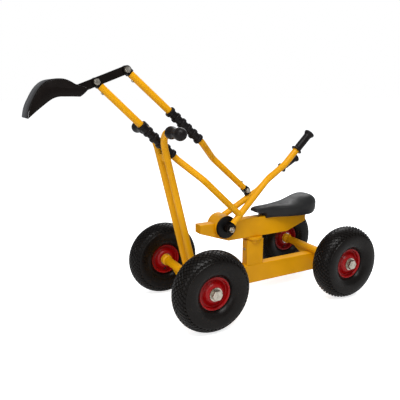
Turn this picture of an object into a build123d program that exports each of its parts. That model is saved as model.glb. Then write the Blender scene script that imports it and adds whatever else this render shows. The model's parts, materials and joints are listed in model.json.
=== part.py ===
from build123d import *
import math
import os

os.makedirs("parts", exist_ok=True)

# Ride-on toy excavator. Millimetres, +X forward, +Y to the driver's left, +Z up.
# The origin is on the ground under the middle of the overall length.

# Running gear
FRONT_AXLE_X = 102.0
WHEELBASE = 550.0
REAR_AXLE_X = FRONT_AXLE_X - WHEELBASE
AXLE_Z = 130.0
WHEEL_Y = 178.5
TYRE_R = 130.0
TYRE_HALF_W = 42.5
TYRE_INNER_R = 122.5
TUBE_WALL = 2.0
VALVE_R = 3.0
VALVE_LONG = 26.0
RIM_R = 49.0
LIP_R = 53.0
LIP_Y = 24.0
HUB_HALF = 27.0
BEARING_OD = 42.0
BEARING_W = 12.0
BOLT_D = 20.0
BOLT_AF = 30.0
BOLT_HEAD = 12.0
WASHER_D = 43.0
WASHER_T = 3.0
RUN_GAP = 0.3
AXLE_OD = 28.0
AXLE_WALL = 3.0
AXLE_END_Y = 151.0
COLLAR_OD = 38.0
COLLAR_W = 12.0
AXLE_PLUG_W = 36.0

# Frame of rectangular tube
RHS_H = 70.0
RHS_W = 35.0
RHS_WALL = 3.0
BEAM_Z = 81.0
BEAM_FRONT_X = 128.0
BEAM_REAR_X = -474.0
BEAM_TOP_Z = BEAM_Z + RHS_H / 2
COLUMN_X = -174.0
COLUMN_TOP_Z = 209.0
GUSSET_Y = 106.0
GUSSET_LOW_Z = 80.0
GUSSET_T = 4.0

# Swivel on top of the column
HOUSING_OD = 50.0
HOUSING_TOP_Z = 211.0
HOUSING_LOW_Z = 199.0
SPIGOT_OD = 28.8
SPIGOT_LOW_Z = 166.0
BUSH_OD = 22.0
BUSH_BORE = 16.1
SWIVEL_WASHER_OD = 48.0
SWIVEL_WASHER_TOP_Z = 212.7
FLANGE_OD = 66.0
FLANGE_LOW_Z = 213.0
PIN_D = 16.0
PIN_LOW_Z = 150.0

# Turning house
HOUSE_LOW_Z = 221.0
HOUSE_TOP_Z = 291.0
HOUSE_NOSE_X = 52.0
HOUSE_REAR_X = -398.0
NOSE_LOW_Z = 261.0
NOSE_TAPER_X = -62.0
TAIL_LOW_Z = 252.0
TAIL_TAPER_X = -309.0
PIVOT_X = -41.0
PIVOT_Z = 276.0
DRUM_OD = 80.0
DRUM_WALL = 4.0
DRUM_HALF = 30.0
CAP_OD = 78.0
CAP_T = 6.0
PIVOT_D = 16.0
PIVOT_BORE = 16.1
NUT_AF = 24.0
NUT_Y = 61.5
PIVOT_THREAD = 12.0
PIVOT_NUT_AF = 19.0

# Round tube arms, seen from the side
TUBE_R = 11.0
TUBE_BORE_R = 9.0
ARM_Y = 50.0
BEND_R = 45.0
LEFT_LEVER_DEG = 134.3
RIGHT_LEVER_DEG = 152.1
LEVER_START = 21.0
LEVER_FLARE = 213.0
LEVER_FLARE_END = 291.0
LEVER_FLARE_Y = 78.0
LEVER_END = 427.0
LEVER_END_Y = 82.0
BOSS_OD = 32.0
BOSS_IN_Y = 38.5
BOSS_OUT_Y = 61.0
LUG_T = 8.0
LUG_W = 17.6
LUG_REACH = 62.0
BOOM_DEG = 43.2
BOOM_END_X = 378.5
BOOM_END_Z = 751.2
BOOM_BEND_A = -344.0
BOOM_BEND_B = -441.0
BOOM_FOOT = -629.0
LINK_DEG = 41.57
LINK_END_X = 287.0
LINK_END_Z = 786.4
LINK_BEND_A = -334.0
LINK_BEND_B = -428.0
LINK_FOOT = -614.1
LINK_PIVOT_X = LINK_END_X + LINK_FOOT * math.cos(math.radians(LINK_DEG))
LINK_PIVOT_Z = LINK_END_Z + LINK_FOOT * math.sin(math.radians(LINK_DEG))

# Rubber bellows and grips
RING_R = 17.2
NECK_R = 13.2
RING_COUNT = 6
RING_HALF = 6.0
BOOM_RINGS = (-319.5, 26.6)
LINK_RINGS = (-316.0, 26.0)
GRIP_R = 13.0
GRIP_FLANGE_R = 19.0
GRIP_END_R = 18.0
GRIP_FLANGE_T = 6.0
GRIP_START = 353.0
GRIP_END = 433.0

# Clevises and their bolts
EAR_T = 6.0
CLEVIS_GAP = 8.6
CLEVIS_R = 12.5
CLEVIS_BACK = 21.0
CLEVIS_SOCKET = 15.0
CLEVIS_PLUG = 60.0
M10_BORE = 10.1
M10_AF = 16.0
M10_HEAD = 6.4
OPEN_BORE = 15.0
LUG_PLATE_R = 12.0
LUG_PLATE_H = 27.0
SCREW_D = 5.0
SCREW_HEAD_D = 9.0
SCREW_HEAD = 2.6
SCREW_BACK = 35.0

# Bucket
BAR_T = 8.0
BAR_R = 12.0
BAR_FORWARD = 75.0
BUCKET_HALF_W = 47.5
SHEET_T = 2.5

# Handle frame in front
HANDLE_Y = 28.5
HANDLE_FOOT_X = 79.0
HANDLE_LEAN_DEG = 76.42
HANDLE_HIGH = 492.8
HANDLE_LOW = -30.0
HANDLE_END_Y = 178.0
HANDLE_BEND_R = 64.0
REST_LOW_Z = 512.0
REST_TOP_Z = 534.2
REST_T = 5.0

# Seat
SEAT_LOW_Z = 291.0
SKIRT_LOW_Z = 286.0
SEAT_HALF_W = 57.0
SEAT_WALL = 6.0
SEAT_BOSSES = ((-262.0, 32.0), (-345.0, 40.0))


def save(builder, name):
    """Name one finished piece and write its STEP file."""
    builder.part.label = name
    export_step(builder.part, "parts/" + name + ".step")


def side_plane(x, z, degrees, y=0.0):
    """Plane along an arm seen from the side: local x runs along the arm, local y is world Y."""
    c = math.cos(math.radians(degrees))
    s = math.sin(math.radians(degrees))
    return Plane(origin=(x, y, z), x_dir=(c, 0, s), z_dir=(-s, 0, c))


def upright_plane(x, z, degrees, y):
    """Vertical plane facing +Y: local x runs along the arm, extrusion goes across the object."""
    c = math.cos(math.radians(degrees))
    s = math.sin(math.radians(degrees))
    return Plane(origin=(x, y, z), x_dir=(c, 0, s), z_dir=(0, -1, 0))


def cross_plane(x, y, z):
    """Plane whose local x is world Y and local y is world Z, for pieces turned about a cross axis."""
    return Plane(origin=(x, y, z), x_dir=(0, 1, 0), z_dir=(1, 0, 0))


def turned(plane, outline):
    """Solid turned about the plane's local x axis from a closed outline."""
    with BuildPart() as body:
        with BuildSketch(plane):
            with BuildLine():
                Polyline(*outline, close=True)
            make_face()
        revolve(axis=Axis(plane.origin, plane.x_dir))
    return body.part


def bent_tube(plane, points, bend_r):
    """Round tube swept along a path with rounded bends."""
    with BuildPart() as tube:
        with BuildLine(plane) as path:
            FilletPolyline(*points, radius=bend_r)
        with BuildSketch(Plane(origin=path.line @ 0, z_dir=path.line % 0)):
            Circle(TUBE_R)
            Circle(TUBE_BORE_R, mode=Mode.SUBTRACT)
        sweep(path=path.line)
    return tube.part


def plate(plane, outline, thick):
    """Flat plate centred on a plane."""
    with BuildPart() as sheet:
        with BuildSketch(plane):
            with BuildLine():
                Polyline(*outline, close=True)
            make_face()
        extrude(amount=thick / 2, both=True)
    return sheet.part


def rod(plane, radius, start, end):
    """Round bar along a plane's normal from one height to another."""
    with BuildPart() as bar:
        with BuildSketch(plane.offset(start)):
            Circle(radius)
        extrude(amount=end - start)
    return bar.part


def hexagon(plane, across_flats, start, end):
    """Hexagonal prism along a plane's normal."""
    with BuildPart() as prism:
        with BuildSketch(plane.offset(start)):
            RegularPolygon(radius=across_flats / 2, side_count=6, major_radius=False)
        extrude(amount=end - start)
        outer = prism.edges().filter_by(GeomType.LINE).sort_by(Axis(plane.origin, plane.z_dir))[-6:]
        chamfer(outer, length=1.0)
    return prism.part


# ---------------------------------------------------------------- frame of the chassis

def make_beam():
    """Main beam, closed by welded end plates pierced by a drain hole."""
    length = BEAM_FRONT_X - BEAM_REAR_X
    middle = (BEAM_FRONT_X + BEAM_REAR_X) / 2
    with BuildPart() as chassis_beam:
        with Locations((middle, 0, BEAM_Z)):
            Box(length, RHS_W, RHS_H)
        fillet(chassis_beam.edges().filter_by(Axis.X), radius=4)
        with Locations((middle, 0, BEAM_Z)):
            Box(length - 2 * RHS_WALL, RHS_W - 2 * RHS_WALL, RHS_H - 2 * RHS_WALL, mode=Mode.SUBTRACT)
        with Locations((middle, 0, BEAM_Z)):
            Cylinder(4, length, rotation=(0, 90, 0), mode=Mode.SUBTRACT)
    save(chassis_beam, "chassis_beam")


def make_column():
    """Column under the house, cut round the swivel housing at its top."""
    height = COLUMN_TOP_Z - BEAM_TOP_Z
    middle = (COLUMN_TOP_Z + BEAM_TOP_Z) / 2
    with BuildPart() as column:
        with Locations((COLUMN_X, 0, middle)):
            Box(RHS_H, RHS_W, height)
        fillet(column.edges().filter_by(Axis.Z), radius=4)
        with Locations((COLUMN_X, 0, middle - RHS_WALL)):
            Box(RHS_H - 2 * RHS_WALL, RHS_W - 2 * RHS_WALL, height, mode=Mode.SUBTRACT)
        add(rod(Plane.XY.offset(0).move(Location((COLUMN_X, 0, 0))), HOUSING_OD / 2, HOUSING_LOW_Z,
                COLUMN_TOP_Z + 5), mode=Mode.SUBTRACT)
    save(column, "column")


def make_column_screw():
    """Small round-headed screw in the front face of the column."""
    front = COLUMN_X + RHS_H / 2
    with BuildPart() as column_screw:
        add(turned(Plane(origin=(front, 0, 175), x_dir=(1, 0, 0), z_dir=(0, -1, 0)),
                   [(0, 0), (4, 0), (4, 2.5), (2.5, 4.8), (0, 5.5)]))
    save(column_screw, "column_screw")


def make_axles():
    """Axle tubes lying across the beam, with a collar and a threaded plug at each end."""
    for x, name in ((FRONT_AXLE_X, "front_axle_tube"), (REAR_AXLE_X, "rear_axle_tube")):
        plane = cross_plane(x, 0, AXLE_Z)
        outer = AXLE_OD / 2
        collar = COLLAR_OD / 2
        inner = outer - AXLE_WALL
        thread = BOLT_D / 2
        end = AXLE_END_Y
        plug = AXLE_END_Y - AXLE_PLUG_W
        neck = AXLE_END_Y - COLLAR_W
        with BuildPart() as axle:
            with BuildSketch(plane):
                with BuildLine():
                    Polyline((0, inner), (plug, inner), (plug, thread), (end, thread), (end, collar),
                             (neck, collar), (neck - 5, outer), (0, outer), (0, inner))
                make_face()
                mirror(about=Plane.YZ)
            revolve(axis=Axis(plane.origin, plane.x_dir))
        save(axle, name)


def make_gussets():
    """Four triangular plates bracing the axle tubes to the sides of the beam."""
    side = RHS_W / 2
    top = AXLE_Z - 4
    with BuildPart() as axle_gussets:
        for x in (FRONT_AXLE_X, REAR_AXLE_X):
            for way in (-1, 1):
                outline = [(way * side, GUSSET_LOW_Z), (way * GUSSET_Y, top - 8), (way * GUSSET_Y, top),
                           (way * side, top)]
                add(plate(cross_plane(x, 0, 0), outline, GUSSET_T))
            with Locations((x, 0, AXLE_Z)):
                Cylinder(AXLE_OD / 2, 2 * GUSSET_Y + 10, rotation=(90, 0, 0), mode=Mode.SUBTRACT)
    save(axle_gussets, "axle_gussets")


def handle_plane(y=0.0):
    """Leaning plane of the handle frame: local x is world Y, local y runs up the uprights."""
    c = math.cos(math.radians(HANDLE_LEAN_DEG))
    s = math.sin(math.radians(HANDLE_LEAN_DEG))
    return Plane(origin=(HANDLE_FOOT_X, y, AXLE_Z), x_dir=(0, 1, 0), z_dir=(s, 0, -c))


def make_uprights():
    """Two bent tubes welded behind the front axle and turning outwards as handles."""
    for way, name in ((1, "handle_upright_left"), (-1, "handle_upright_right")):
        points = [(way * HANDLE_Y, HANDLE_LOW), (way * HANDLE_Y, HANDLE_HIGH),
                  (way * HANDLE_END_Y, HANDLE_HIGH)]
        with BuildPart() as upright:
            add(bent_tube(handle_plane(), points, HANDLE_BEND_R))
            with Locations((FRONT_AXLE_X, 0, AXLE_Z)):
                Cylinder(AXLE_OD / 2, 2 * AXLE_END_Y, rotation=(90, 0, 0), mode=Mode.SUBTRACT)
        save(upright, name)


def make_boom_rest():
    """Cross plate between the uprights that carries the lowered boom."""
    c = math.cos(math.radians(HANDLE_LEAN_DEG))
    s = math.sin(math.radians(HANDLE_LEAN_DEG))
    low = (REST_LOW_Z - AXLE_Z) / s
    high = (REST_TOP_Z - AXLE_Z) / s
    inner = HANDLE_Y - TUBE_R + 2
    with BuildPart() as boom_rest:
        add(plate(handle_plane(), [(-inner, low), (inner, low), (inner, high), (-inner, high)], REST_T))
        for way in (-1, 1):
            foot = Plane(origin=(HANDLE_FOOT_X, way * HANDLE_Y, AXLE_Z), x_dir=(0, 1, 0), z_dir=(c, 0, s))
            add(rod(foot, TUBE_R, 100, HANDLE_HIGH), mode=Mode.SUBTRACT)
    save(boom_rest, "boom_rest")


def make_handle_grips():
    """Dumbbell-shaped rubber grips on the outward ends of the uprights."""
    lean = math.radians(HANDLE_LEAN_DEG)
    x = HANDLE_FOOT_X + HANDLE_HIGH * math.cos(lean)
    z = AXLE_Z + HANDLE_HIGH * math.sin(lean)
    profile = [(92.5, TUBE_R), (92.5, 14.5), (96, 17.2), (101, 19), (106, 19.4), (111, 18.6), (117, 16.2),
               (124, 13.8), (130, 13.1), (137, 13.4), (144, 15.2), (150, 17.8), (156, 19.2), (162, 19.4),
               (168, 18.4), (174, 15.8), (179, 11.5), (182, 7), (183, 0), (178, 0), (178, TUBE_R)]
    for way, name in ((1, "handle_grip_left"), (-1, "handle_grip_right")):
        outline = [(way * a, r) for a, r in profile]
        with BuildPart() as grip:
            add(turned(cross_plane(x, 0, z), outline))
        save(grip, name)


def make_wheel_fasteners():
    """Large hexagon bolts and plain washers that hold the wheels on."""
    face = WHEEL_Y + HUB_HALF + RUN_GAP
    with BuildPart() as wheel_washers:
        for x in (FRONT_AXLE_X, REAR_AXLE_X):
            for way in (-1, 1):
                plane = Plane(origin=(x, 0, AXLE_Z), x_dir=(1, 0, 0), z_dir=(0, way, 0))
                add(rod(plane, WASHER_D / 2, face, face + WASHER_T))
                add(rod(plane, BOLT_D / 2, face - 1, face + WASHER_T + 1), mode=Mode.SUBTRACT)
    save(wheel_washers, "wheel_washers")
    head = face + WASHER_T
    with BuildPart() as wheel_bolts:
        for x in (FRONT_AXLE_X, REAR_AXLE_X):
            for way in (-1, 1):
                plane = Plane(origin=(x, 0, AXLE_Z), x_dir=(1, 0, 0), z_dir=(0, way, 0))
                add(hexagon(plane, BOLT_AF, head, head + BOLT_HEAD))
                add(rod(plane, BOLT_D / 2, AXLE_END_Y - AXLE_PLUG_W + 2, head))
    save(wheel_bolts, "wheel_bolts")


# ---------------------------------------------------------------- wheels

def make_wheel(name, x, y):
    """Pneumatic wheel: tyre, inner tube with valve, pressed steel rim and two bearings."""
    plane = cross_plane(x, y, AXLE_Z)
    spin = Axis(plane.origin, plane.x_dir)
    inward = -1 if y > 0 else 1

    with BuildPart() as tyre:
        with BuildSketch(plane):
            with BuildLine():
                Spline((24.6, 55), (37, 66), (TYRE_HALF_W, 90), (37.5, 112), (24, 124.5), (0, TYRE_R),
                       tangents=((1, 0.35), (-1, 0)))
                Line((0, TYRE_R), (0, TYRE_INNER_R))
                Spline((0, TYRE_INNER_R), (19, 118), (31, 108), (36, 90), (29, 68), (14, 57),
                       tangents=((1, 0), (-1, -0.4)))
                Polyline((14, 57), (13, RIM_R), (21.8, RIM_R), (21.8, 55), (24.6, 55))
            make_face()
            mirror(about=Plane.YZ)
        revolve(axis=spin)
    save(tyre, "tyre_" + name)

    half = [(0, 122.2), (9, 121.4), (18, 118), (25, 113.2), (30.4, 107.6), (34.4, 98), (35.6, 90), (33.4, 80),
            (28.6, 69.2), (20.6, 62), (13.2, 58), (12.4, RIM_R), (0, RIM_R)]
    valve = Plane(origin=(x, y + inward * 3, AXLE_Z - RIM_R - 1), x_dir=(1, 0, 0), z_dir=(0, inward, 1))
    with BuildPart() as tube:
        with BuildSketch(plane):
            with BuildLine():
                Polyline(*(half + [(-a, r) for a, r in reversed(half[1:-1])]), close=True)
            section = make_face()
            offset(section, amount=-TUBE_WALL, kind=Kind.INTERSECTION, mode=Mode.SUBTRACT)
        revolve(axis=spin)
        add(rod(valve, VALVE_R, 0, VALVE_LONG))
    save(tube, "inner_tube_" + name)

    hub = BEARING_OD / 2
    with BuildPart() as rim:
        with BuildSketch(plane):
            with BuildLine():
                Polyline((0, hub + 3), (0, hub), (HUB_HALF, hub), (HUB_HALF, 28), (24.5, 31), (20, 34),
                         (14.5, 39), (12, 43), (11, 46.4), (21, 46.4), (LIP_Y, 49), (LIP_Y, LIP_R),
                         (22, LIP_R), (22, RIM_R), (0, RIM_R), (0, 46.4), (8, 46.4), (9.5, 42),
                         (12.5, 37), (18, 32), (22, 29.5), (24, 27.5), (24, hub + 3), (0, hub + 3))
            make_face()
            mirror(about=Plane.YZ)
        revolve(axis=spin)
        add(rod(valve, VALVE_R + 0.1, -2, VALVE_LONG), mode=Mode.SUBTRACT)
    save(rim, "rim_" + name)

    with BuildPart() as bearings:
        for way in (-1, 1):
            ring = Plane(origin=(x, y, AXLE_Z), x_dir=(1, 0, 0), z_dir=(0, way, 0))
            add(rod(ring, hub, HUB_HALF - BEARING_W, HUB_HALF))
            add(rod(ring, BOLT_D / 2 + 0.05, HUB_HALF - BEARING_W - 1, HUB_HALF + 1), mode=Mode.SUBTRACT)
    save(bearings, "bearings_" + name)


# ---------------------------------------------------------------- swivel

def make_swivel():
    """Bearing housing on the column, its bushes, and the flanged spindle of the house with its nut."""
    base = Plane.XY.move(Location((COLUMN_X, 0, 0)))
    with BuildPart() as swivel_housing:
        add(rod(base, HOUSING_OD / 2, HOUSING_LOW_Z, HOUSING_TOP_Z))
        add(rod(base, SPIGOT_OD / 2, SPIGOT_LOW_Z, HOUSING_LOW_Z))
        add(rod(base, BUSH_OD / 2, SPIGOT_LOW_Z - 1, HOUSING_TOP_Z + 1), mode=Mode.SUBTRACT)
    save(swivel_housing, "swivel_housing")

    with BuildPart() as swivel_bushes:
        add(rod(base, BUSH_OD / 2, SPIGOT_LOW_Z, SPIGOT_LOW_Z + 16))
        add(rod(base, BUSH_OD / 2, HOUSING_TOP_Z - 16, HOUSING_TOP_Z))
        add(rod(base, SWIVEL_WASHER_OD / 2, HOUSING_TOP_Z, SWIVEL_WASHER_TOP_Z))
        add(rod(base, BUSH_BORE / 2, SPIGOT_LOW_Z - 1, FLANGE_LOW_Z), mode=Mode.SUBTRACT)
    save(swivel_bushes, "swivel_bushes")

    with BuildPart() as swivel_spindle:
        add(rod(base, FLANGE_OD / 2, FLANGE_LOW_Z, HOUSE_LOW_Z))
        add(rod(base, PIN_D / 2, PIN_LOW_Z, FLANGE_LOW_Z))
        chamfer(swivel_spindle.faces().sort_by(Axis.Z)[-1].edges(), length=1)
    save(swivel_spindle, "swivel_spindle")

    with BuildPart() as swivel_nut:
        add(hexagon(base, NUT_AF, PIN_LOW_Z + 2, PIN_LOW_Z + 15))
        add(rod(base, PIN_D / 2, PIN_LOW_Z, FLANGE_LOW_Z), mode=Mode.SUBTRACT)
    save(swivel_nut, "swivel_nut")


# ---------------------------------------------------------------- house

def make_house():
    """Long closed box of rectangular tube, tapered at nose and tail, cut out for the pivot drum."""
    low = HOUSE_LOW_Z
    top = HOUSE_TOP_Z
    wall = RHS_WALL
    outline = [(HOUSE_REAR_X, TAIL_LOW_Z), (TAIL_TAPER_X, low), (NOSE_TAPER_X, low),
               (HOUSE_NOSE_X, NOSE_LOW_Z), (HOUSE_NOSE_X, top), (HOUSE_REAR_X, top)]
    hollow = [(HOUSE_REAR_X + wall, TAIL_LOW_Z + wall), (TAIL_TAPER_X, low + wall),
              (NOSE_TAPER_X, low + wall), (HOUSE_NOSE_X - wall, NOSE_LOW_Z + wall),
              (HOUSE_NOSE_X - wall, top - wall), (HOUSE_REAR_X + wall, top - wall)]
    with BuildPart() as house_shell:
        add(plate(Plane.XZ, outline, RHS_W))
        fillet(house_shell.edges().filter_by(Axis.X), radius=3)
        add(plate(Plane.XZ, hollow, RHS_W - 2 * wall), mode=Mode.SUBTRACT)
        with Locations((PIVOT_X, 0, PIVOT_Z)):
            Cylinder(DRUM_OD / 2, RHS_W + 10, rotation=(90, 0, 0), mode=Mode.SUBTRACT)
        for x, tall in SEAT_BOSSES:
            with Locations((x, 0, top)):
                Cylinder(4, 20, mode=Mode.SUBTRACT)
    save(house_shell, "house_shell")


def make_pivot():
    """Drum through the nose of the house with two end caps, the pivot axle and its acorn nuts."""
    plane = cross_plane(PIVOT_X, 0, PIVOT_Z)
    outer = DRUM_OD / 2
    inner = outer - DRUM_WALL
    axle = PIVOT_D / 2
    thread = PIVOT_THREAD / 2
    with BuildPart() as pivot_drum:
        add(turned(plane, [(-DRUM_HALF, inner), (DRUM_HALF, inner), (DRUM_HALF, outer), (-DRUM_HALF, outer)]))
    save(pivot_drum, "pivot_drum")

    cap = CAP_OD / 2
    with BuildPart() as drum_caps:
        for way in (-1, 1):
            outline = [(DRUM_HALF - 12, axle), (DRUM_HALF - 12, inner), (DRUM_HALF, inner), (DRUM_HALF, cap),
                       (DRUM_HALF + 2, cap), (DRUM_HALF + 4.5, cap - 4), (DRUM_HALF + CAP_T, cap - 11),
                       (DRUM_HALF + CAP_T + 1.5, 16), (DRUM_HALF + CAP_T + 2, axle)]
            add(turned(plane, [(way * a, r) for a, r in outline]))
    save(drum_caps, "drum_caps")

    with BuildPart() as pivot_axle:
        add(turned(plane, [(-NUT_Y - 11, 0), (NUT_Y + 11, 0), (NUT_Y + 11, thread), (NUT_Y, thread),
                           (NUT_Y, axle), (-NUT_Y, axle), (-NUT_Y, thread), (-NUT_Y - 11, thread)]))
    save(pivot_axle, "pivot_axle")

    with BuildPart() as pivot_nuts:
        for way in (-1, 1):
            face = Plane(origin=(PIVOT_X, 0, PIVOT_Z), x_dir=(1, 0, 0), z_dir=(0, way, 0))
            add(hexagon(face, PIVOT_NUT_AF, NUT_Y, NUT_Y + 9))
            dome = [(NUT_Y + 9, 0), (NUT_Y + 16, 0), (NUT_Y + 15, 4), (NUT_Y + 13, 6.5), (NUT_Y + 9, 8.2)]
            add(turned(plane, [(way * a, r) for a, r in dome]))
            add(rod(face, thread, NUT_Y - 1, NUT_Y + 11), mode=Mode.SUBTRACT)
    save(pivot_nuts, "pivot_nuts")


def make_seat():
    """Saddle: narrow nose between the levers, wide raised tail; with two bolts from below."""
    side = [(-213, SKIRT_LOW_Z), (-388, SKIRT_LOW_Z), (-412, 290), (-432, 302), (-441, 318), (-438, 334),
            (-425, 348), (-407, 355), (-388, 355), (-368, 349), (-345, 339), (-320, 331), (-290, 328.5),
            (-256, 327.5), (-215, 326), (-186, 325), (-172, 320), (-168, 313), (-180, 308), (-211, 304)]
    half = [(-166, 0), (-168, 12), (-174, 20), (-186, 25), (-205, 27), (-235, 29), (-262, 35),
            (-290, 46), (-320, 54), (-350, SEAT_HALF_W), (-385, 56), (-410, 50), (-428, 38), (-438, 20),
            (-441, 0)]
    crown = [(-60, 280), (60, 280), (60, 312), (52, 328), (40, 341), (24, 350), (0, 355.5),
             (-24, 350), (-40, 341), (-52, 328), (-60, 312)]
    outline = half + [(x, -y) for x, y in reversed(half[1:-1])]
    with BuildPart() as hollow:
        with BuildSketch(Plane.XZ):
            with BuildLine():
                Polyline(*side, close=True)
            make_face()
            offset(amount=-SEAT_WALL, kind=Kind.INTERSECTION, mode=Mode.REPLACE)
        extrude(amount=SEAT_HALF_W, both=True)
        with BuildSketch(Plane.XY.offset(SEAT_LOW_Z - 5)):
            with BuildLine():
                Polyline(*outline, close=True)
            make_face()
            offset(amount=-SEAT_WALL, kind=Kind.INTERSECTION, mode=Mode.REPLACE)
        extrude(amount=120, mode=Mode.INTERSECT)
    with BuildPart() as seat:
        add(plate(Plane.XZ, side, 2 * SEAT_HALF_W + 4))
        with BuildSketch(Plane.XY.offset(SEAT_LOW_Z - 5)):
            with BuildLine():
                Polyline(*outline, close=True)
            make_face()
        extrude(amount=120, mode=Mode.INTERSECT)
        with BuildSketch(Plane.YZ.offset(-460)):
            with BuildLine():
                Polyline(*crown, close=True)
            make_face()
        extrude(amount=320, mode=Mode.INTERSECT)
        add(hollow.part.moved(Location((0, 0, -SEAT_WALL - 1))), mode=Mode.SUBTRACT)
        with Locations((HOUSE_REAR_X + 100, 0, SEAT_LOW_Z - 10)):
            Box(201, RHS_W + 0.6, 20, mode=Mode.SUBTRACT)
        for x, tall in SEAT_BOSSES:
            with Locations((x, 0, SEAT_LOW_Z + tall / 2)):
                Cylinder(12, tall)
            with Locations((x, 0, SEAT_LOW_Z + 5)):
                Cylinder(4, 24, mode=Mode.SUBTRACT)
    save(seat, "seat")

    with BuildPart() as seat_bolts:
        for x, tall in SEAT_BOSSES:
            plane = Plane.XY.move(Location((x, 0, 0)))
            under = HOUSE_TOP_Z - RHS_WALL
            add(hexagon(plane, 13, under - 5.5, under))
            add(rod(plane, 4, under, SEAT_LOW_Z + 15))
    save(seat_bolts, "seat_bolts")


# ---------------------------------------------------------------- levers, boom and link

def lever_points(way):
    """Path of one lever: straight beside the house, then flared outwards to the grip."""
    return [(LEVER_START, way * ARM_Y), (LEVER_FLARE, way * ARM_Y), (LEVER_FLARE_END, way * LEVER_FLARE_Y),
            (LEVER_END, way * LEVER_END_Y)]


def lug_solid(way, degrees):
    """Hub lug: boss on the pivot axle with a tongue that fills the slotted end of the lever tube."""
    face = Plane(origin=(PIVOT_X, 0, PIVOT_Z), x_dir=(1, 0, 0), z_dir=(0, way, 0))
    tongue = upright_plane(PIVOT_X, PIVOT_Z, degrees, way * ARM_Y)
    half = LUG_W / 2
    with BuildPart() as lug:
        add(rod(face, BOSS_OD / 2, BOSS_IN_Y, BOSS_OUT_Y))
        add(plate(tongue, [(0, -half), (LUG_REACH, -half), (LUG_REACH, half), (0, half)], LUG_T))
        add(rod(face, PIVOT_BORE / 2, BOSS_IN_Y - 1, BOSS_OUT_Y + 1), mode=Mode.SUBTRACT)
    return lug.part


def make_lever(side, way, degrees):
    """Lever tube with its hub lug and grip."""
    plane = side_plane(PIVOT_X, PIVOT_Z, degrees)
    slot = upright_plane(PIVOT_X, PIVOT_Z, degrees, way * ARM_Y)
    half = LUG_W / 2
    with BuildPart() as lever:
        add(bent_tube(plane, lever_points(way), BEND_R))
        add(plate(slot, [(0, -half), (LUG_REACH, -half), (LUG_REACH, half), (0, half)], LUG_T),
            mode=Mode.SUBTRACT)
    save(lever, "lever_" + side)

    with BuildPart() as hub_lug:
        add(lug_solid(way, degrees))
    save(hub_lug, "hub_lug_" + side)

    run = LEVER_END - LEVER_FLARE_END
    rise = way * (LEVER_END_Y - LEVER_FLARE_Y)
    start = plane.from_local_coords((LEVER_FLARE_END, way * LEVER_FLARE_Y, 0))
    along = plane.from_local_coords((LEVER_FLARE_END + run, way * LEVER_FLARE_Y + rise, 0)) - start
    grip_plane = Plane(origin=start, x_dir=along, z_dir=plane.z_dir)
    a = GRIP_START - LEVER_FLARE_END
    b = GRIP_END - LEVER_FLARE_END
    end = math.hypot(run, rise)
    outline = [(a, TUBE_R), (a, GRIP_FLANGE_R - 1), (a + 1.5, GRIP_FLANGE_R),
               (a + GRIP_FLANGE_T - 1.5, GRIP_FLANGE_R), (a + GRIP_FLANGE_T, GRIP_FLANGE_R - 1.5),
               (a + GRIP_FLANGE_T + 1, GRIP_R + 1), (a + GRIP_FLANGE_T + 4, GRIP_R)]
    outline += [(b - 10, GRIP_R), (b - 7, GRIP_R + 2), (b - 5.5, GRIP_END_R - 1), (b - 4, GRIP_END_R),
                (b - 1.5, GRIP_END_R), (b, GRIP_END_R - 2), (b, 0), (end, 0), (end, TUBE_R)]
    with BuildPart() as grip:
        add(turned(grip_plane, outline))
    save(grip, "lever_grip_" + side)


def bellows_outline(first, pitch):
    """Half section of a rubber bellows, from its first ring's centre: rounded rings on a narrower neck."""
    rings = [first + index * pitch for index in range(RING_COUNT)]
    outline = [(rings[0] - RING_HALF, TUBE_R)]
    for c in rings:
        outline += [(c - RING_HALF, RING_R - 3.5), (c - RING_HALF + 1.5, RING_R - 1), (c - 2, RING_R),
                    (c + 2, RING_R), (c + RING_HALF - 1.5, RING_R - 1), (c + RING_HALF, RING_R - 3.5)]
        if c != rings[-1]:
            outline += [(c + RING_HALF + 2, NECK_R), (c + pitch - RING_HALF - 2, NECK_R)]
    return outline + [(rings[-1] + RING_HALF, TUBE_R)]


def clevis_slot(x, z, degrees, y):
    """Space the flat bar swings in, between the ears of a forked tube end."""
    side = upright_plane(x, z, degrees, y)
    with BuildPart() as slot:
        with BuildSketch(side):
            with Locations((CLEVIS_R / 2 - CLEVIS_BACK / 2, 0)):
                Rectangle(CLEVIS_R + CLEVIS_BACK + 2, 2 * CLEVIS_R + 2)
        extrude(amount=CLEVIS_GAP / 2, both=True)
    return slot.part


def clevis_solid(x, z, degrees, y):
    """Forked tube end: two rounded ears, a shoulder and a plug inside the tube."""
    side = upright_plane(x, z, degrees, y)
    half = CLEVIS_GAP / 2 + EAR_T
    with BuildPart() as clevis:
        with BuildSketch(side):
            Circle(CLEVIS_R)
            with Locations((-CLEVIS_SOCKET / 2, 0)):
                Rectangle(CLEVIS_SOCKET, 2 * TUBE_R)
        extrude(amount=half, both=True)
        plug = Plane(origin=(x, y, z), x_dir=(0, 1, 0), z_dir=side.x_dir)
        with BuildSketch(plug.offset(-CLEVIS_PLUG)):
            Circle(TUBE_BORE_R)
        extrude(amount=CLEVIS_PLUG - CLEVIS_SOCKET)
        add(clevis_slot(x, z, degrees, y), mode=Mode.SUBTRACT)
        with BuildSketch(side):
            Circle(M10_BORE / 2)
        extrude(amount=half + 1, both=True, mode=Mode.SUBTRACT)
    return clevis.part


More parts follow.
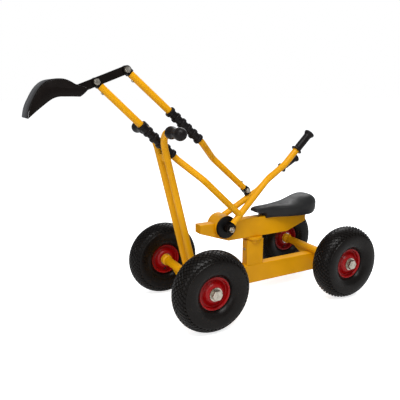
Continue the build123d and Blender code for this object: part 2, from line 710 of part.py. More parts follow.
def pivot_bolt(x, z, y):
    """M10 hexagon bolt with washer and nut through a clevis."""
    half = CLEVIS_GAP / 2 + EAR_T
    face = Plane(origin=(x, y, z), x_dir=(1, 0, 0), z_dir=(0, 1, 0))
    with BuildPart() as bolt:
        add(rod(face, M10_BORE / 2, -half, half))
        add(rod(face, 9.0, half, half + 1.5))
        add(hexagon(face, M10_AF, half + 1.5, half + 1.5 + M10_HEAD))
        add(rod(face, 9.0, -half - 1.5, -half))
        back = Plane(origin=(x, y, z), x_dir=(1, 0, 0), z_dir=(0, -1, 0))
        add(hexagon(back, M10_AF, half + 1.5, half + 1.5 + M10_HEAD))
    return bolt.part


def clevis_screw(x, z, degrees, y):
    """Small screw through the tube wall into the clevis plug."""
    c = math.cos(math.radians(degrees))
    s = math.sin(math.radians(degrees))
    centre = (x - SCREW_BACK * c, y, z - SCREW_BACK * s)
    face = Plane(origin=centre, x_dir=(0, 1, 0), z_dir=(s, 0, -c))
    with BuildPart() as screw:
        add(rod(face, SCREW_D / 2, 0, TUBE_R))
        add(rod(face, SCREW_HEAD_D / 2, TUBE_R, TUBE_R + SCREW_HEAD))
    return screw.part


def make_boom():
    """Boom tube welded to the left lever, with bellows, clevis, screw and bucket pivot bolt."""
    plane = side_plane(BOOM_END_X, BOOM_END_Z, BOOM_DEG)
    lever = side_plane(PIVOT_X, PIVOT_Z, LEFT_LEVER_DEG)
    axis_plane = Plane(origin=lever.from_local_coords((0, ARM_Y, 0)), x_dir=(0, 1, 0), z_dir=lever.x_dir)
    points = [(-CLEVIS_SOCKET, 0), (BOOM_BEND_A, 0), (BOOM_BEND_B, ARM_Y), (BOOM_FOOT, ARM_Y)]
    screw = clevis_screw(BOOM_END_X, BOOM_END_Z, BOOM_DEG, 0)
    with BuildPart() as boom_tube:
        add(bent_tube(plane, points, BEND_R))
        add(rod(axis_plane, TUBE_R, 20, 110), mode=Mode.SUBTRACT)
        add(clevis_slot(BOOM_END_X, BOOM_END_Z, BOOM_DEG, 0), mode=Mode.SUBTRACT)
        add(screw, mode=Mode.SUBTRACT)
    save(boom_tube, "boom_tube")

    with BuildPart() as boom_bellows:
        add(turned(plane, bellows_outline(*BOOM_RINGS)))
    save(boom_bellows, "boom_bellows")

    with BuildPart() as boom_clevis:
        add(clevis_solid(BOOM_END_X, BOOM_END_Z, BOOM_DEG, 0))
        add(screw, mode=Mode.SUBTRACT)
    save(boom_clevis, "boom_clevis")

    with BuildPart() as boom_clevis_screw:
        add(screw)
    save(boom_clevis_screw, "boom_clevis_screw")

    with BuildPart() as bucket_pivot_bolt:
        add(pivot_bolt(BOOM_END_X, BOOM_END_Z, 0))
    save(bucket_pivot_bolt, "bucket_pivot_bolt")


def make_link():
    """Link tube beside the boom, with bellows, a clevis at each end, screws and pivot bolts."""
    plane = side_plane(LINK_END_X, LINK_END_Z, LINK_DEG)
    points = [(-CLEVIS_SOCKET, 0), (LINK_BEND_A, 0), (LINK_BEND_B, -ARM_Y),
              (LINK_FOOT + CLEVIS_SOCKET, -ARM_Y)]
    screws = [clevis_screw(LINK_END_X, LINK_END_Z, LINK_DEG, 0),
              clevis_screw(LINK_PIVOT_X, LINK_PIVOT_Z, LINK_DEG + 180, -ARM_Y)]
    with BuildPart() as link_tube:
        add(bent_tube(plane, points, BEND_R))
        add(clevis_slot(LINK_END_X, LINK_END_Z, LINK_DEG, 0), mode=Mode.SUBTRACT)
        add(clevis_slot(LINK_PIVOT_X, LINK_PIVOT_Z, LINK_DEG + 180, -ARM_Y), mode=Mode.SUBTRACT)
        for screw in screws:
            add(screw, mode=Mode.SUBTRACT)
    save(link_tube, "link_tube")

    with BuildPart() as link_bellows:
        add(turned(plane, bellows_outline(*LINK_RINGS)))
    save(link_bellows, "link_bellows")

    with BuildPart() as link_clevises:
        add(clevis_solid(LINK_END_X, LINK_END_Z, LINK_DEG, 0))
        add(clevis_solid(LINK_PIVOT_X, LINK_PIVOT_Z, LINK_DEG + 180, -ARM_Y))
        for screw in screws:
            add(screw, mode=Mode.SUBTRACT)
    save(link_clevises, "link_clevises")

    with BuildPart() as link_clevis_screws:
        for screw in screws:
            add(screw)
    save(link_clevis_screws, "link_clevis_screws")

    with BuildPart() as link_pivot_bolts:
        add(pivot_bolt(LINK_END_X, LINK_END_Z, 0))
        add(pivot_bolt(LINK_PIVOT_X, LINK_PIVOT_Z, -ARM_Y))
    save(link_pivot_bolts, "link_pivot_bolts")


def make_link_lug():
    """Upstanding plate on the right lever that carries the foot of the link."""
    plane = upright_plane(LINK_PIVOT_X, LINK_PIVOT_Z, RIGHT_LEVER_DEG, -ARM_Y)
    with BuildPart() as link_lug:
        with BuildSketch(plane):
            Circle(LUG_PLATE_R)
            with Locations((0, LUG_PLATE_H / 2)):
                Rectangle(2 * LUG_PLATE_R, LUG_PLATE_H)
        extrude(amount=BAR_T / 2, both=True)
        with BuildSketch(plane):
            Circle(M10_BORE / 2 + 0.05)
        extrude(amount=BAR_T, both=True, mode=Mode.SUBTRACT)
        lever = side_plane(PIVOT_X, PIVOT_Z, RIGHT_LEVER_DEG)
        tube = Plane(origin=lever.from_local_coords((0, -ARM_Y, 0)), x_dir=(0, 1, 0), z_dir=lever.x_dir)
        add(rod(tube, TUBE_R, 100, 220), mode=Mode.SUBTRACT)
    save(link_lug, "link_lug")


# ---------------------------------------------------------------- bucket

def make_bucket():
    """Crescent bucket: bent sheet between two side plates, carried by a flat bar."""
    back = [(575.5, 655.5), (572, 673), (566.5, 689), (558, 705), (549.5, 720), (539, 734.5), (526, 746.5),
            (512, 753.5), (496, 756), (478, 755.5), (463, 750.5), (449, 742.5)]
    heel = [(433, 738), (419, 733), (416.5, 731), (422, 725), (430, 718), (438, 713)]
    mouth = [(446, 711.5), (478, 711.5), (494, 711), (511, 705.5), (529, 693), (553, 674.5)]
    outline = back + heel + mouth
    sheet_outer = []
    run = back + heel
    for index in range(len(run)):
        before = run[max(index - 1, 0)]
        after = run[min(index + 1, len(run) - 1)]
        dx = after[0] - before[0]
        dz = after[1] - before[1]
        size = math.hypot(dx, dz)
        sheet_outer.append((run[index][0] + dz / size * SHEET_T, run[index][1] - dx / size * SHEET_T))
    strip = run + list(reversed(sheet_outer))
    inside = BUCKET_HALF_W - SHEET_T
    with BuildPart() as bucket_shell:
        add(plate(Plane.XZ, strip, 2 * inside))
    save(bucket_shell, "bucket_shell")

    with BuildPart() as bucket_side_plates:
        for way in (-1, 1):
            middle = way * (BUCKET_HALF_W - SHEET_T / 2)
            add(plate(Plane.XZ.offset(-middle), outline, SHEET_T))
            bead = Plane(origin=(474, way * BUCKET_HALF_W, 729), x_dir=(-0.952, 0, 0.306), z_dir=(0, way, 0))
            with BuildSketch(bead):
                SlotOverall(34, 5)
            extrude(amount=1.5, both=True)
    save(bucket_side_plates, "bucket_side_plates")

    dx = LINK_END_X - BOOM_END_X
    dz = LINK_END_Z - BOOM_END_Z
    span = math.hypot(dx, dz)
    degrees = math.degrees(math.atan2(dz, dx))
    bar_plane = upright_plane(BOOM_END_X, BOOM_END_Z, degrees, 0)
    with BuildPart() as bucket_bar:
        with BuildSketch(bar_plane):
            with Locations((span, 0)):
                Circle(BAR_R)
            with Locations(((span - BAR_FORWARD) / 2, 0)):
                Rectangle(span + BAR_FORWARD, 2 * BAR_R)
        extrude(amount=BAR_T / 2, both=True)
        with BuildSketch(bar_plane):
            Circle(M10_BORE / 2 + 0.05)
            with Locations((span, 0)):
                Circle(OPEN_BORE / 2)
        extrude(amount=BAR_T, both=True, mode=Mode.SUBTRACT)
        add(plate(Plane.XZ, outline, 2 * BUCKET_HALF_W), mode=Mode.SUBTRACT)
        add(bucket_shell.part, mode=Mode.SUBTRACT)
    save(bucket_bar, "bucket_bar")


make_beam()
make_column()
make_column_screw()
make_axles()
make_gussets()
make_uprights()
make_boom_rest()
make_handle_grips()
make_wheel_fasteners()
for end, axle_x in (("front", FRONT_AXLE_X), ("rear", REAR_AXLE_X)):
    for hand, wheel_y in (("left", WHEEL_Y), ("right", -WHEEL_Y)):
        make_wheel(end + "_" + hand, axle_x, wheel_y)
make_swivel()
make_house()
make_pivot()
make_seat()
make_lever("left", 1, LEFT_LEVER_DEG)
make_lever("right", -1, RIGHT_LEVER_DEG)
make_boom()
make_link()
make_link_lug()
make_bucket()
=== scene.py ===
import bmesh
import bpy
import json
import math
from mathutils import Matrix, Vector


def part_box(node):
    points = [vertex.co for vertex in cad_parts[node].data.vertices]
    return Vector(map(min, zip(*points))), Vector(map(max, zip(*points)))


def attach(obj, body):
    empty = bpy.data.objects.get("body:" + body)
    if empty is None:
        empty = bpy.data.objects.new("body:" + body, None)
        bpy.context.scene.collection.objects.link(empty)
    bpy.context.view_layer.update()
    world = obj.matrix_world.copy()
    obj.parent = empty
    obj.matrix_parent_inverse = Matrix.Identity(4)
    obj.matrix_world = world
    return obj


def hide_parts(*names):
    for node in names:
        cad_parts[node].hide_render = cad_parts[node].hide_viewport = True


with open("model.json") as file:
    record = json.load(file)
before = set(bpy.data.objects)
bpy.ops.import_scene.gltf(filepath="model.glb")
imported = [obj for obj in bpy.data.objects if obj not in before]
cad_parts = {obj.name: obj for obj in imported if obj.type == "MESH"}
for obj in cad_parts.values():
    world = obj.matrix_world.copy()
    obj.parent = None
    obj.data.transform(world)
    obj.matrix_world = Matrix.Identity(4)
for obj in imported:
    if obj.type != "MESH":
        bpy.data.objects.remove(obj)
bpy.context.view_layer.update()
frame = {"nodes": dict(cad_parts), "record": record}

nodes = frame["nodes"]
MM = 0.001
WHEELS = ("front_left", "front_right", "rear_left", "rear_right")


# ---------------------------------------------------------------- materials

def tree_of(name):
    """A new material with its node tree, its Principled shader and an object coordinate output."""
    mat = bpy.data.materials.new(name)
    mat.use_nodes = True
    tree = mat.node_tree
    shader = tree.nodes["Principled BSDF"]
    coord = tree.nodes.new("ShaderNodeTexCoord").outputs["Object"]
    return mat, tree, shader, coord


def noise(tree, coord, scale, detail=3.0, rough=0.5):
    n = tree.nodes.new("ShaderNodeTexNoise")
    n.inputs["Scale"].default_value = scale
    n.inputs["Detail"].default_value = detail
    n.inputs["Roughness"].default_value = rough
    tree.links.new(coord, n.inputs["Vector"])
    return n.outputs["Fac"]


def ramp(tree, fac, stops):
    n = tree.nodes.new("ShaderNodeValToRGB")
    elements = n.color_ramp.elements
    while len(elements) < len(stops):
        elements.new(0.5)
    for element, (at, colour) in zip(elements, stops):
        element.position = at
        element.color = (*colour, 1.0)
    tree.links.new(fac, n.inputs["Fac"])
    return n.outputs["Color"]


def spread(tree, fac, low, high, start=0.3, end=0.7):
    n = tree.nodes.new("ShaderNodeMapRange")
    n.inputs["From Min"].default_value = start
    n.inputs["From Max"].default_value = end
    n.inputs["To Min"].default_value = low
    n.inputs["To Max"].default_value = high
    tree.links.new(fac, n.inputs["Value"])
    return n.outputs["Result"]


def combine(tree, a, b, mode="ADD", factor=1.0):
    n = tree.nodes.new("ShaderNodeMath")
    n.operation = mode
    tree.links.new(a, n.inputs[0])
    if isinstance(b, float):
        n.inputs[1].default_value = b
    else:
        tree.links.new(b, n.inputs[1])
    return n.outputs["Value"]


def bumped(tree, shader, height, strength, distance):
    n = tree.nodes.new("ShaderNodeBump")
    n.inputs["Strength"].default_value = strength
    n.inputs["Distance"].default_value = distance
    tree.links.new(height, n.inputs["Height"])
    tree.links.new(n.outputs["Normal"], shader.inputs["Normal"])


def tinted(tree, colour, other, mask):
    """Mix two colour outputs by a mask."""
    n = tree.nodes.new("ShaderNodeMix")
    n.data_type = "RGBA"
    tree.links.new(mask, n.inputs["Factor"])
    tree.links.new(colour, n.inputs[6])
    if isinstance(other, tuple):
        n.inputs[7].default_value = (*other, 1.0)
    else:
        tree.links.new(other, n.inputs[7])
    return n.outputs[2]


def paint(name, light, deep, rough, coat, peel=0.12, level=0.3):
    """Sprayed or powder coat: cloudy tone, orange peel, soft scuffs."""
    mat, tree, shader, coord = tree_of(name)
    cloud = noise(tree, coord, 7.0, 4.0, 0.55)
    tone = ramp(tree, cloud, [(0.3, deep), (0.7, light)])
    worn = spread(tree, noise(tree, coord, 16.0, 4.0, 0.6), 0.0, 0.35, 0.5, 0.75)
    tree.links.new(tinted(tree, tone, deep, worn), shader.inputs["Base Color"])
    scuff = noise(tree, coord, 45.0, 6.0, 0.7)
    tree.links.new(spread(tree, scuff, rough - 0.05, rough + 0.09), shader.inputs["Roughness"])
    shader.inputs["Coat Weight"].default_value = coat
    shader.inputs["Coat Roughness"].default_value = 0.16
    shader.inputs["Specular IOR Level"].default_value = level
    bumped(tree, shader, noise(tree, coord, 300.0, 0.0, 0.5), peel, 0.00012)
    return mat


def rubber(name, light, deep, rough, grain=1400.0, depth=0.18, bloom=0.0, level=0.35):
    """Moulded rubber or plastic: fine grain, faint bloom, uneven gloss."""
    mat, tree, shader, coord = tree_of(name)
    cloud = noise(tree, coord, 22.0, 5.0, 0.6)
    tone = ramp(tree, cloud, [(0.28, deep), (0.72, light)])
    dust = spread(tree, noise(tree, coord, 130.0, 6.0, 0.7), 0.0, bloom, 0.5, 0.75)
    tree.links.new(tinted(tree, tone, (0.16, 0.15, 0.13), dust), shader.inputs["Base Color"])
    sheen = noise(tree, coord, 60.0, 4.0, 0.6)
    tree.links.new(spread(tree, sheen, rough - 0.07, rough + 0.1), shader.inputs["Roughness"])
    cells = tree.nodes.new("ShaderNodeTexVoronoi")
    cells.inputs["Scale"].default_value = grain
    tree.links.new(coord, cells.inputs["Vector"])
    soft = noise(tree, coord, grain * 0.4, 3.0, 0.6)
    bumped(tree, shader, combine(tree, cells.outputs["Distance"], soft), depth, 0.0003)
    shader.inputs["Specular IOR Level"].default_value = level
    return mat


def steel(name, light, deep, rough, scratch=900.0, coat=0.0):
    """Plated or ground steel: blotchy plating, fine scratches, darker stains."""
    mat, tree, shader, coord = tree_of(name)
    stain = noise(tree, coord, 90.0, 5.0, 0.6)
    tree.links.new(ramp(tree, stain, [(0.3, deep), (0.62, light)]), shader.inputs["Base Color"])
    shader.inputs["Metallic"].default_value = 1.0
    streak = tree.nodes.new("ShaderNodeMapping")
    streak.inputs["Scale"].default_value = (1.0, 0.15, 1.0)
    tree.links.new(coord, streak.inputs["Vector"])
    lines = noise(tree, streak.outputs["Vector"], scratch, 3.0, 0.7)
    worn = combine(tree, lines, stain, "MULTIPLY")
    tree.links.new(spread(tree, worn, rough - 0.06, rough + 0.16, 0.15, 0.4), shader.inputs["Roughness"])
    bumped(tree, shader, lines, 0.12, 0.0002)
    shader.inputs["Coat Weight"].default_value = coat
    return mat


finish = {
    "yellow_paint": paint("powder_coat_yellow", (0.72, 0.33, 0.0), (0.60, 0.265, 0.0), 0.42, 0.02, 0.10, 0.15),
    "red_paint": paint("rim_paint_red", (0.30, 0.001, 0.002), (0.20, 0.001, 0.001), 0.30, 0.10, 0.08, 0.2),
    "black_paint": paint("paint_black", (0.005, 0.003, 0.002), (0.002, 0.001, 0.001), 0.28, 0.0, 0.08, 0.14),
    "zinc": steel("zinc_plate", (0.52, 0.48, 0.41), (0.30, 0.27, 0.22), 0.25),
    "dark_steel": steel("steel_screws", (0.40, 0.34, 0.24), (0.24, 0.19, 0.12), 0.35),
    "bearing_steel": steel("steel_ground", (0.66, 0.66, 0.66), (0.5, 0.5, 0.5), 0.24),
    "black_rubber": rubber("rubber_moulded", (0.008, 0.006, 0.006), (0.004, 0.003, 0.003),
                           0.36, 1500.0, 0.08, 0.02, 0.14),
    "tube_rubber": rubber("rubber_tube", (0.035, 0.033, 0.033), (0.02, 0.02, 0.02), 0.6),
    "tyre": rubber("tyre_rubber", (0.006, 0.0045, 0.0035), (0.003, 0.002, 0.0015),
                   0.30, 1100.0, 0.06, 0.02, 0.14),
    "seat_plastic": rubber("seat_shell", (0.016, 0.016, 0.016), (0.010, 0.010, 0.010),
                           0.38, 800.0, 0.10, 0.02, 0.22),
    "cap_plastic": rubber("cap_moulding", (0.005, 0.004, 0.004), (0.002, 0.002, 0.002),
                          0.34, 1300.0, 0.06, 0.02, 0.14),
    "nylon": rubber("nylon_ring", (0.62, 0.58, 0.46), (0.5, 0.47, 0.38), 0.5),
}


# ---------------------------------------------------------------- mesh helpers

def piece(name, verts, faces, body, slot, sharp=32.0, replaced=()):
    """A finished mesh piece, smooth-shaded, riding on a body, in the finish named by a record slot."""
    mesh = bpy.data.meshes.new(name)
    mesh.from_pydata(verts, [], faces)
    mesh.validate()
    shape = bmesh.new()
    shape.from_mesh(mesh)
    bmesh.ops.recalc_face_normals(shape, faces=shape.faces)
    shape.to_mesh(mesh)
    shape.free()
    mesh.update()
    mesh.polygons.foreach_set("use_smooth", [True] * len(mesh.polygons))
    mesh.set_sharp_from_angle(angle=math.radians(sharp))
    obj = bpy.data.objects.new(name, mesh)
    bpy.context.scene.collection.objects.link(obj)
    mesh.materials.append(finish[slot])
    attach(obj, body)
    if replaced:
        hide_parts(*replaced)
    return obj


def flowing(points, per_span):
    """Points on a Catmull-Rom curve through the given points."""
    found = []
    last = len(points) - 1
    for i in range(last):
        p0 = Vector(points[max(i - 1, 0)])
        p1 = Vector(points[i])
        p2 = Vector(points[i + 1])
        p3 = Vector(points[min(i + 2, last)])
        for k in range(per_span):
            t = k / per_span
            found.append(0.5 * ((2 * p1) + (p2 - p0) * t + (2 * p0 - 5 * p1 + 4 * p2 - p3) * t * t
                                + (3 * p1 - p0 - 3 * p2 + p3) * t ** 3))
    found.append(Vector(points[last]))
    return found


def smooth_run(points, per_span):
    """Flowing curve through flat points given as pairs."""
    return [(p.x, p.y) for p in flowing([(a, b, 0) for a, b in points], per_span)]


def frame_at(origin, along):
    """Matrix with local X along a direction, from an origin in metres."""
    x = Vector(along).normalized()
    side = Vector((0, 1, 0)) if abs(x.y) < 0.9 else Vector((0, 0, 1))
    z = x.cross(side).normalized()
    y = z.cross(x)
    m = Matrix((x, y, z)).transposed().to_4x4()
    m.translation = Vector(origin)
    return m


def lathe(profile, matrix, segments=96, closed=True):
    """Vertices and faces of a profile of (along, radius) in mm turned round local X of a matrix."""
    verts = []
    faces = []
    rings = []
    for a, r in profile:
        if r < 0.01:
            rings.append([len(verts)])
            verts.append(matrix @ Vector((a * MM, 0, 0)))
            continue
        start = len(verts)
        for k in range(segments):
            t = 2 * math.pi * k / segments
            verts.append(matrix @ Vector((a * MM, r * MM * math.cos(t), r * MM * math.sin(t))))
        rings.append(list(range(start, start + segments)))
    pairs = list(zip(rings, rings[1:]))
    if closed:
        pairs.append((rings[-1], rings[0]))
    for one, two in pairs:
        if len(one) == 1 and len(two) == 1:
            continue
        for k in range(segments):
            n = (k + 1) % segments
            if len(one) == 1:
                faces.append((one[0], two[n], two[k]))
            elif len(two) == 1:
                faces.append((one[k], one[n], two[0]))
            else:
                faces.append((one[k], one[n], two[n], two[k]))
    return [tuple(v) for v in verts], faces


def centre_of(node):
    low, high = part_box(node)
    return (Vector(low) + Vector(high)) / 2


# ---------------------------------------------------------------- CAD nodes that stay

slots = {entry["node"]: entry["material_slot"] for entry in frame["record"]["subparts"]}
for name, obj in nodes.items():
    mesh = obj.data
    mesh.polygons.foreach_set("use_smooth", [True] * len(mesh.polygons))
    mesh.set_sharp_from_angle(angle=math.radians(32))
    if not obj.material_slots:
        mesh.materials.append(finish[slots[name]])
    for entry in obj.material_slots:
        entry.material = finish[slots[name]]
    if mesh.has_custom_normals:
        bpy.context.view_layer.objects.active = obj
        bpy.ops.mesh.customdata_custom_splitnormals_clear()


# ---------------------------------------------------------------- wheels

TREAD_ROWS = 13
TREAD_AROUND = 50
TREAD_STEP = 7.3
TREAD_DEEP = 3.2
BLOCK_ACROSS = 6.0
BLOCK_AROUND = 6.5
BLOCK_SHAPE = ((1, 0), (0.42, 0.58), (0, 1), (-0.42, 0.58), (-1, 0), (-0.42, -0.58), (0, -1), (0.42, -0.58))
BLOCK_LEVELS = ((1.0, -TREAD_DEEP - 0.3), (0.97, -0.7), (0.80, 0.0))


def tyre_section():
    """Half of the outer section from bead to crown, as (across, radius) in mm."""
    shape = [(24.6, 55), (28.5, 57.2), (33, 61), (37.6, 67), (41, 76), (42.5, 88), (42.1, 98), (40.2, 107),
             (36.5, 114), (31, 119.3), (24, 123.6), (16, 127), (8, 129.2), (0, 130)]
    return flowing(shape, 5)


def arc_table(section):
    """Distance along the half section measured from the crown outwards."""
    points = list(reversed(section))
    lengths = [0.0]
    for p, q in zip(points, points[1:]):
        lengths.append(lengths[-1] + (q - p).length)
    return points, lengths


def on_section(points, lengths, u):
    """Point and outward normal at a signed distance from the crown."""
    side = -1 if u < 0 else 1
    u = abs(u)
    i = 1
    while lengths[i] < u and i < len(lengths) - 1:
        i += 1
    t = (u - lengths[i - 1]) / (lengths[i] - lengths[i - 1])
    p = points[i - 1].lerp(points[i], t)
    d = (points[i] - points[i - 1]).normalized()
    return Vector((side * p.x, p.y)), Vector((side * -d.y, d.x))


def make_tyre(name, body):
    centre = centre_of("tyre_" + name)
    matrix = frame_at(centre, (0, 1, 0))
    section = tyre_section()
    points, lengths = arc_table(section)
    reach = TREAD_STEP * (TREAD_ROWS // 2) + 3.0
    outer = []
    for p, u in zip(points, lengths):
        deep = TREAD_DEEP * min(1.0, max(0.0, (reach + 3.0 - u) / 4.0))
        _, n = on_section(points, lengths, max(u, 0.01))
        outer.append((p.x - n.x * deep, p.y - abs(n.y) * deep))
    outer = [(a, r) for a, r in reversed(outer)]
    right = outer + [(-a, r) for a, r in reversed(outer[:-1])]
    inner = [(-21.8, 55), (-21.8, 49.2), (-13, 49.2), (-14, 57), (-29, 68), (-36, 90), (-31, 108), (-19, 118),
             (0, 122.4), (19, 118), (31, 108), (36, 90), (29, 68), (14, 57), (13, 49.2), (21.8, 49.2), (21.8, 55)]
    verts, faces = lathe(right + inner, matrix, 132)

    def put(u, angle, lift):
        p, n = on_section(points, lengths, u)
        a = p.x + n.x * lift
        r = p.y + abs(n.y) * lift
        return tuple(matrix @ Vector((a * MM, r * MM * math.cos(angle), r * MM * math.sin(angle))))

    half_rows = TREAD_ROWS // 2
    for row in range(-half_rows, half_rows + 1):
        u0 = row * TREAD_STEP
        p, _ = on_section(points, lengths, u0 if row else 0.01)
        turn = 2 * math.pi / TREAD_AROUND
        along = BLOCK_AROUND / p.y
        for k in range(TREAD_AROUND):
            middle = (k + 0.5 * (row % 2)) * turn
            base = len(verts)
            for size, lift in BLOCK_LEVELS:
                for du, da in BLOCK_SHAPE:
                    verts.append(put(u0 + du * BLOCK_ACROSS * size, middle + da * along * size, lift))
            for level in (0, 8):
                for j in range(8):
                    n = (j + 1) % 8
                    one = base + level
                    faces.append((one + j, one + n, one + 8 + n, one + 8 + j))
            faces.append(tuple(base + 16 + j for j in range(8)))
            faces.append(tuple(base + j for j in reversed(range(8))))
    return piece("tyre_treaded_" + name, verts, faces, body, "tyre", 40.0, ("tyre_" + name,))


def make_rim(name, body):
    matrix = frame_at(centre_of("tyre_" + name), (0, 1, 0))
    outside = [(0, 49), (21.6, 49), (22.2, 51.4), (22.6, 52.6), (23.4, 53), (24, 52.6), (24, 51.6), (23.6, 50.4),
               (23.0, 48.6), (20.5, 47.2), (15.5, 46.6), (13.2, 46.2), (12.2, 45.2), (11.9, 43.6), (12.6, 41.4),
               (14.2, 38.8), (17.0, 35.8), (20.4, 33.4), (22.6, 31.6), (24.4, 29.6), (26.0, 27.2), (27, 24.8),
               (27, 21.05), (0, 21.05), (0, 24), (21.6, 24), (20.4, 28), (17.6, 31.4), (13.4, 35),
               (10.4, 39.4), (9.0, 44), (8.0, 46.6), (0, 46.6)]
    verts = []
    faces = []
    for way in (1, -1):
        part, sheets = lathe([(way * a, r) for a, r in outside], matrix, 96)
        if way < 0:
            sheets = [tuple(reversed(f)) for f in sheets]
        start = len(verts)
        verts += part
        faces += [tuple(i + start for i in f) for f in sheets]
    return piece("rim_pressed_" + name, verts, faces, body, "red_paint", 50.0, ("rim_" + name,))


for wheel in WHEELS:
    make_tyre(wheel, "wheel_" + wheel)
    make_rim(wheel, "wheel_" + wheel)


# ---------------------------------------------------------------- rubber and plastic pieces

BOOM_DEG = 43.2
LINK_DEG = 41.57
BOOM_PITCH = 26.6
LINK_PITCH = 26.0
RINGS = 6
RING_R = 17.2
RING_HALF = 6.0
NECK_R = 13.2
SLEEVE_R = 11.05
PIVOT = Vector((-0.041, 0, 0.276))
LEVER_DEG = {"left": 134.3, "right": 152.1}
BULGE_R = 19.4
WAIST_R = 13.1
KNOB_AT = 24.25
WAIST_AT = -3.75
GRIP_AT = 393.0
GRIP_Y = 81.0
GRIP_RUN = 136.0
GRIP_SPREAD = 4.0
HANDS = {"left": 1, "right": -1}


def heading(degrees):
    """Unit vector in the side view at an angle above +X."""
    return Vector((math.cos(math.radians(degrees)), 0, math.sin(math.radians(degrees))))


def collar(centre):
    """Outline of one rounded ring standing on the neck."""
    found = []
    for k in range(17):
        t = math.pi * k / 16
        reach = math.copysign(abs(math.cos(t)) ** 0.6, math.cos(t))
        found.append((centre - RING_HALF * reach, NECK_R + (RING_R - NECK_R) * math.sin(t) ** 0.6))
    return found


def make_bellows(node, body, degrees, pitch):
    first = -(RINGS - 1) / 2 * pitch
    outline = [(first - RING_HALF, SLEEVE_R)]
    for k in range(RINGS):
        outline += collar(first + k * pitch)
    outline.append((-first + RING_HALF, SLEEVE_R))
    verts, faces = lathe(outline, frame_at(centre_of(node), heading(degrees)), 72)
    return piece(node + "_moulded", verts, faces, body, "black_rubber", 35.0, (node,))


def make_handle_grip(side):
    """Two bulges either side of a waist, closed by a round end."""
    node = "handle_grip_" + side
    low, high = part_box(node)
    half = (high[1] - low[1]) / 2 / MM
    mean = (BULGE_R + WAIST_R) / 2
    swell = (BULGE_R - WAIST_R) / 2
    outline = [(-half, SLEEVE_R), (-half, 14.6), (-half + 1.2, 15.8)]
    for k in range(1, 41):
        a = -half + 1.2 + (half - 1.2 + KNOB_AT) * k / 40
        outline.append((a, mean - swell * math.cos(math.pi * (a - WAIST_AT) / (KNOB_AT - WAIST_AT))))
    for k in range(1, 15):
        t = math.pi / 2 * k / 14
        outline.append((KNOB_AT + (half - KNOB_AT) * math.sin(t), BULGE_R * math.cos(t)))
    outline += [(half - 5, 0), (half - 5, SLEEVE_R)]
    verts, faces = lathe(outline, frame_at(centre_of(node), (0, HANDS[side], 0)), 72)
    return piece(node + "_moulded", verts, faces, "chassis", "black_rubber", 40.0, (node,))


def make_lever_grip(side, body):
    """Ribbed barrel between a thin hand guard and a flared end."""
    way = HANDS[side]
    along = heading(LEVER_DEG[side])
    centre = PIVOT + along * GRIP_AT * MM + Vector((0, way * GRIP_Y * MM, 0))
    outline = [(-40, SLEEVE_R), (-40, 13.4), (-39.4, 16.8), (-38.6, 18.6), (-37.4, 19), (-36, 18.8), (-35.2, 17.4),
               (-34.2, 15.2), (-32.4, 13.8)]
    for k in range(44):
        a = -30.5 + k * 1.25
        outline.append((a, 13.0 + 0.32 * math.sin(2 * math.pi * a / 5.0)))
    outline += [(27, 13.9), (30, 15.1), (32.5, 16.6), (34.6, 17.7), (36.6, 18), (38.4, 17.5), (39.5, 16.2), (40, 14),
                (40, 6), (39.2, 4.6), (39.2, 0), (35, 0), (35, SLEEVE_R)]
    slope = along * GRIP_RUN + Vector((0, way * GRIP_SPREAD, 0))
    verts, faces = lathe(outline, frame_at(centre, slope), 72)
    name = "lever_grip_" + side
    return piece(name + "_moulded", verts, faces, body, "black_rubber", 40.0, (name,))


# ---------------------------------------------------------------- seat

SEAT_PLAN = [(-166, 0.6), (-168, 11), (-174, 19), (-186, 24.5), (-205, 27), (-235, 29), (-262, 35), (-290, 45.5),
             (-320, 53), (-350, 57), (-385, 56), (-410, 49), (-428, 37), (-438, 20), (-441, 0.6)]
SEAT_TOP = [(-166, 314), (-168, 318), (-174, 322), (-186, 324.6), (-215, 326), (-256, 327.5), (-290, 328.5),
            (-320, 331.5), (-345, 339), (-368, 348.5), (-388, 354), (-405, 354.5), (-422, 349), (-435, 337),
            (-441, 322)]
SEAT_UNDER = [(-166, 312.5), (-172, 309), (-182, 306), (-211, 304), (-213, 286), (-388, 286), (-405, 288),
              (-420, 294), (-433, 305), (-441, 320)]
SHOULDER_Z = 314.0
SADDLE_Z = 291.4
SADDLE_Y = 18.3


def height_at(table, x):
    """Value of a list of (x, value) at x, where x falls along the list."""
    for (x0, v0), (x1, v1) in zip(table, table[1:]):
        if x0 >= x >= x1:
            return v0 + (v1 - v0) * (x0 - x) / max(x0 - x1, 1e-6)
    return table[-1][1]


def seat_section(x, plan, top, under):
    """Half section across the seat from the underside's middle to the crest."""
    half = height_at(plan, x)
    crest = height_at(top, x)
    base = height_at(under, x)
    shoulder = max(min(crest - 9, SHOULDER_Z), base + 0.45 * (crest - base))
    gap = min(SADDLE_Y, 0.55 * half)
    roof = max(base, SADDLE_Z)
    points = [(0, roof), (gap, roof), (gap, base), (half - min(3.0, 0.3 * half), base),
              (half - min(1.0, 0.1 * half), base + 0.12 * (shoulder - base)),
              (half, base + 0.4 * (shoulder - base)), (half, shoulder)]
    for k in range(1, 15):
        t = math.pi / 2 * k / 14
        points.append((half * math.cos(t) ** 0.72, shoulder + (crest - shoulder) * math.sin(t) ** 0.85))
    return points


